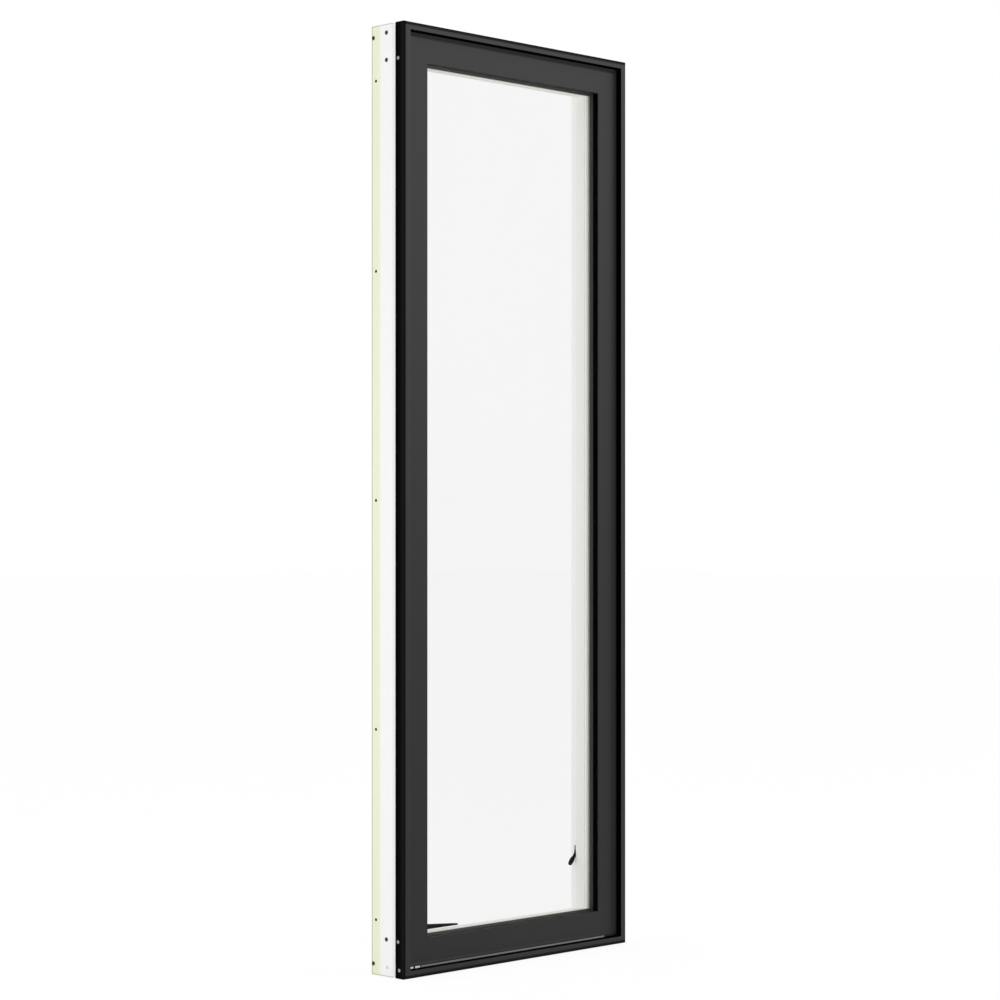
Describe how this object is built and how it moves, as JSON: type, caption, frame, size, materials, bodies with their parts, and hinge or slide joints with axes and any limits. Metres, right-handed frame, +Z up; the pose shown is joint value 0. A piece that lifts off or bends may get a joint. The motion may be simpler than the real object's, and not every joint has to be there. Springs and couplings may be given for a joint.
{
  "type": "casement window",
  "caption": "Tall narrow fibreglass casement window, dark outdoors and cream indoors, with a double-glazed sash, a folding crank handle and a jamb lock lever.",
  "frame": {"origin": "middle of the frame sill's underside, half way through the frame's depth", "axes": "+Z up; -Y outdoors and +Y the room; +X towards the lock jamb, which is on the right seen from outdoors"},
  "size_m": [0.516, 0.078, 1.506],
  "materials": {
    "dark_fibreglass": "satin baked coating",
    "white_fibreglass": "satin, bare profile",
    "cream_fibreglass": "satin coating",
    "dark_sash": "satin baked coating",
    "cream_sash": "satin coating",
    "pane_glass": "clear",
    "spacer_metal": "matt",
    "gasket_rubber": "matt",
    "seal_rubber": "matt",
    "drip_metal": "satin",
    "hinge_steel": "brushed",
    "hardware_black": "satin powder coat",
    "cream_hardware": "satin powder coat"
  },
  "bodies": {
    "window": {"frame_sill_exterior": "dark_fibreglass", "frame_sill_core": "white_fibreglass", "frame_sill_interior": "cream_fibreglass", "frame_head_exterior": "dark_fibreglass", "frame_head_core": "white_fibreglass", "frame_head_interior": "cream_fibreglass", "frame_left_jamb_exterior": "dark_fibreglass", "frame_left_jamb_core": "white_fibreglass", "frame_left_jamb_interior": "cream_fibreglass", "frame_right_jamb_exterior": "dark_fibreglass", "frame_right_jamb_core": "white_fibreglass", "frame_right_jamb_interior": "cream_fibreglass", "sash_bottom_rail_exterior": "dark_sash", "sash_bottom_rail_interior": "cream_sash", "sash_top_rail_exterior": "dark_sash", "sash_top_rail_interior": "cream_sash", "sash_hinge_stile_exterior": "dark_sash", "sash_hinge_stile_interior": "cream_sash", "sash_lock_stile_exterior": "dark_sash", "sash_lock_stile_interior": "cream_sash", "glass_outer_pane": "pane_glass", "glass_inner_pane": "pane_glass", "glass_spacer": "spacer_metal", "glazing_gasket": "gasket_rubber", "outer_weather_seal": "seal_rubber", "inner_weather_seal": "seal_rubber", "sash_drip_strip": "drip_metal", "hinge_shoe_end": "hinge_steel", "hinge_shoe_bar": "hinge_steel", "hinge_track_bottom": "hinge_steel", "hinge_track_top": "hinge_steel", "crank_base": "hardware_black", "lock_plate": "cream_hardware"},
    "crank_handle": {"crank_handle": "hardware_black"},
    "lock_lever": {"lock_lever": "hardware_black"}
  },
  "joints": [
    {"name": "crank_handle_fold", "type": "hinge", "parent": "window", "child": "crank_handle", "pos_m": [-0.159, 0.0322, 0.0642], "axis": [0, -0.9976, 0.0698], "range_deg": [0, 110]},
    {"name": "lock_lever_turn", "type": "hinge", "parent": "window", "child": "lock_lever", "pos_m": [0.2068, 0.0288, 0.1555], "axis": [0, 1, 0], "range_deg": [0, 100]}
  ]
}
